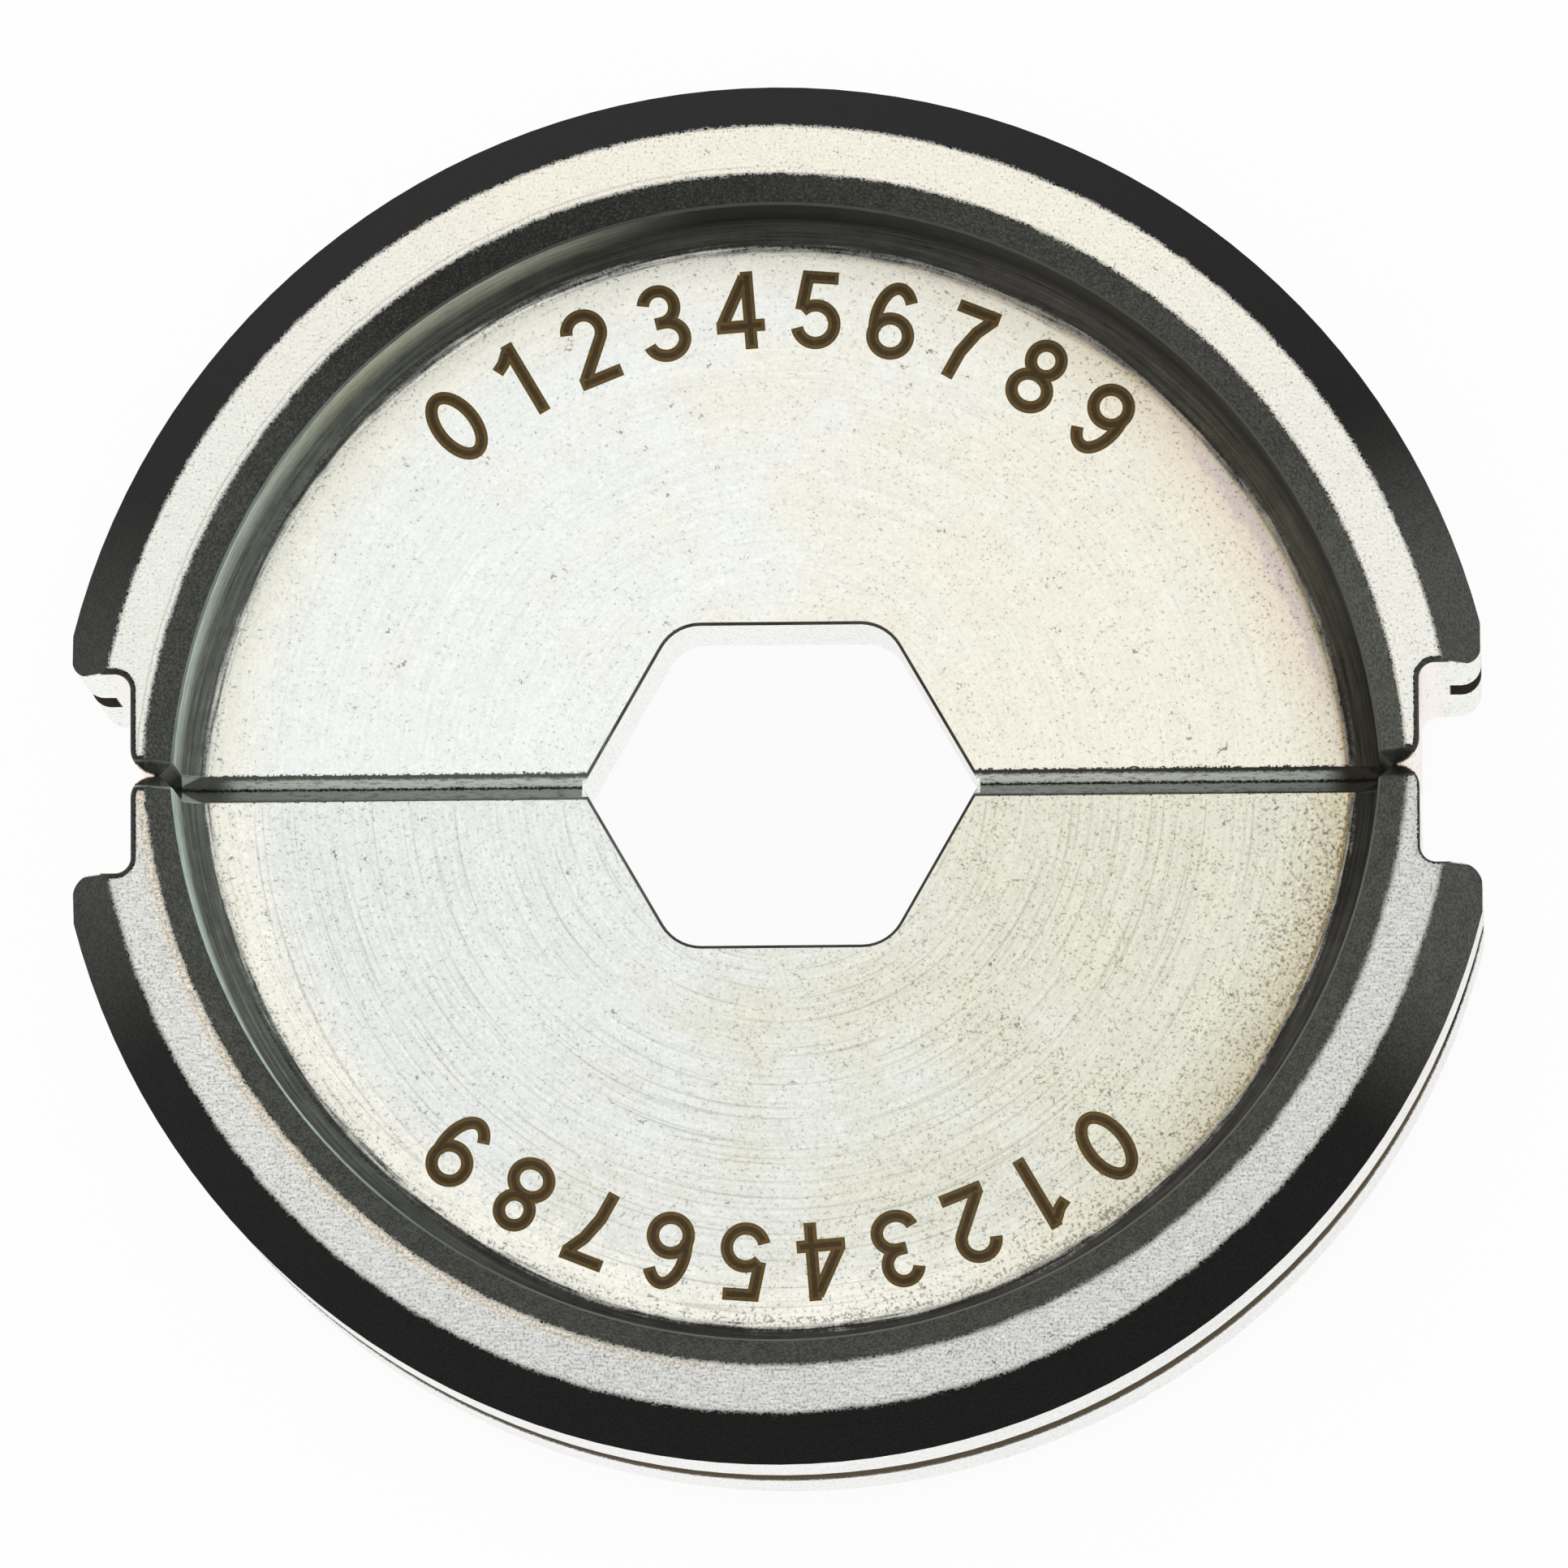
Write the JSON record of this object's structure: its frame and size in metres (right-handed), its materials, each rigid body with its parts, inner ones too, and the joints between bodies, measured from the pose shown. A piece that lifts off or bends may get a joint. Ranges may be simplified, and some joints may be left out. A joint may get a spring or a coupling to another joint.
{
  "type": "crimping die",
  "caption": "Round-backed steel die halves that close face to face on a hexagonal nest, to crimp cable connectors in a hydraulic press.",
  "frame": {"origin": "where the crimping axis meets the plane of the back ring, on the parting plane", "axes": "+Z out of the front along the crimping axis, +X along the parting plane to the right, +Y across the parting plane to the upper half"},
  "size_m": [0.0446, 0.0438, 0.017],
  "materials": {
    "die_steel": "ground and zinc passivated flats, blackened chamfers and recess walls"
  },
  "bodies": {
    "root": {"upper_die_half": "die_steel", "lower_die_half": "die_steel"}
  },
  "joints": []
}
